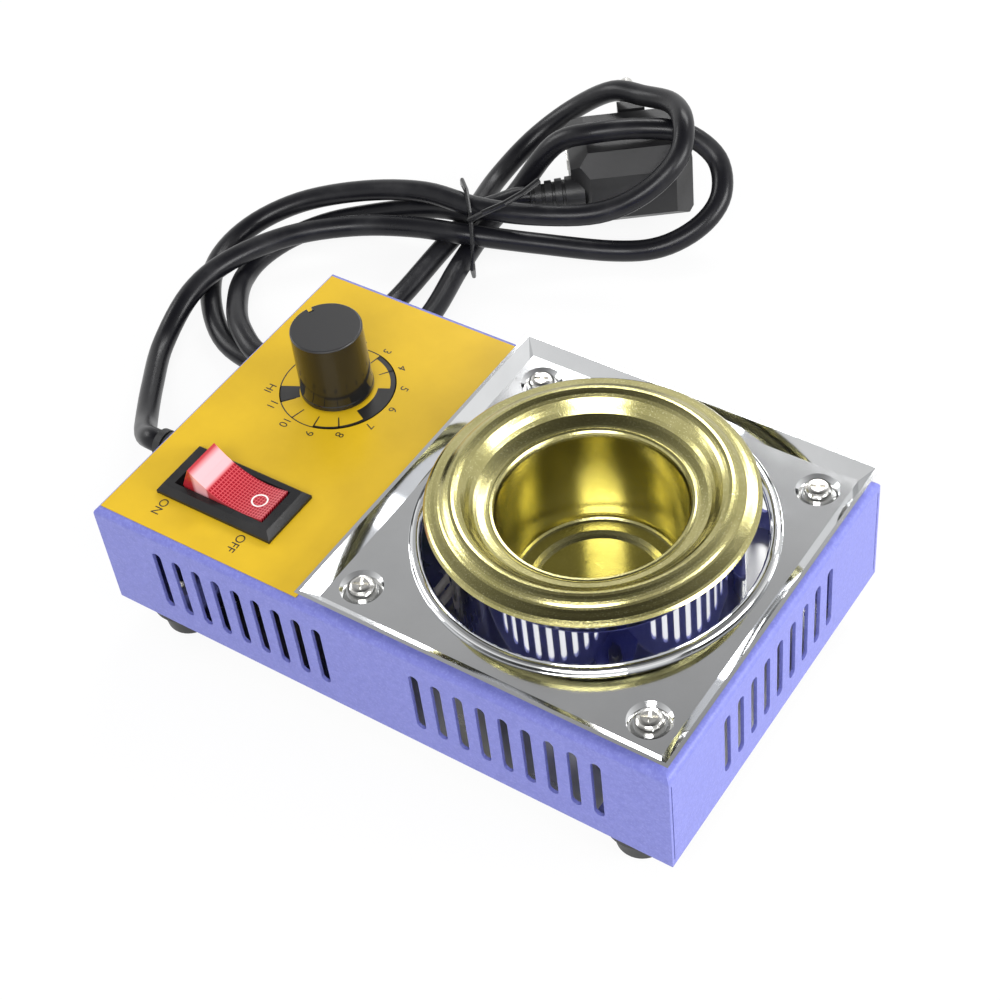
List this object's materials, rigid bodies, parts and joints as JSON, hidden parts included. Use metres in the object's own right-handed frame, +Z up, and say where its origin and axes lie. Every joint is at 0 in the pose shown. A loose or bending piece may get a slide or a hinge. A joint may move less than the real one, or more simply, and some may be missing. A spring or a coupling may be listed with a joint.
{
  "type": "solder pot",
  "caption": "Benchtop solder pot: low slotted steel box with a spun crucible in a square drip tray, dial knob, rocker switch and wound mains cord.",
  "frame": {"origin": "on the floor under the middle of the box", "axes": "+X along the box towards the pot, -Y the front with the switch, +Z up"},
  "size_m": [0.2558, 0.2565, 0.07],
  "materials": {
    "box_paint": "blue-violet hammer-finish powder coat",
    "zinc_plate": "galvanised sheet",
    "label_print": "yellow printed overlay with black dial marks",
    "tray_steel": "polished stainless sheet",
    "sleeve_steel": "mirror-polished stainless tube",
    "pot_olive": "gold-olive satin heat-proof finish",
    "zinc_screw": "bright zinc",
    "steel": "plain steel",
    "wool": "pressed ceramic wool",
    "ceramic": "unglazed steatite",
    "knob_plastic": "black, satin on top",
    "black_plastic": "black nylon",
    "red_clear": "clear red",
    "brass_plate": "tinned brass",
    "board_green": "green laminate",
    "capacitor_red": "dipped",
    "resistor_tan": "lacquered",
    "aluminium": "mill finish",
    "wire_white": "glass-braid sleeving",
    "wire_brown": "brown and blue insulation",
    "black_rubber": "black rubber",
    "cord_black": "black soft-gloss sheath",
    "pin_metal": "nickel-plated"
  },
  "bodies": {
    "box": {"housing": "box_paint", "base_plate": "zinc_plate", "dial_label": "label_print", "drip_tray": "tray_steel", "tray_screws": "zinc_screw", "tray_nuts": "steel", "crucible": "pot_olive", "heat_sleeve": "sleeve_steel", "insulating_wool": "wool", "band_heater": "steel", "heater_clamp_screw": "steel", "ceramic_spacer": "ceramic", "crucible_stud": "steel", "stud_nut": "steel", "control_body": "black_plastic", "control_washer": "steel", "control_nut": "steel", "switch_body": "black_plastic", "switch_tabs": "brass_plate", "control_board": "board_green", "film_capacitor": "capacitor_red", "triac": "black_plastic", "triac_heat_sink": "aluminium", "board_resistors": "resistor_tan", "terminal_block": "ceramic", "terminal_screws": "brass_plate", "heater_leads": "wire_white", "supply_wires": "wire_brown", "earth_lug": "brass_plate", "earth_screw": "steel", "strain_relief": "black_rubber", "feet": "black_rubber", "foot_screws": "steel", "foot_nuts": "steel", "cord": "cord_black", "plug_body": "black_plastic", "plug_pins": "pin_metal", "plug_earth_clips": "pin_metal", "cord_tie": "black_plastic"},
    "dial_knob": {"knob": "knob_plastic", "control_shaft": "steel"},
    "rocker_button": {"rocker": "red_clear"}
  },
  "joints": [
    {"name": "knob_turn", "type": "hinge", "parent": "box", "child": "dial_knob", "pos_m": [-0.058, 0.015, 0.059], "axis": [0, 0, -1], "range_deg": [0, 300]},
    {"name": "rocker_tip", "type": "hinge", "parent": "box", "child": "rocker_button", "pos_m": [-0.058, -0.032, 0.045], "axis": [0, -1, 0], "range_deg": [0, 32.6]}
  ]
}
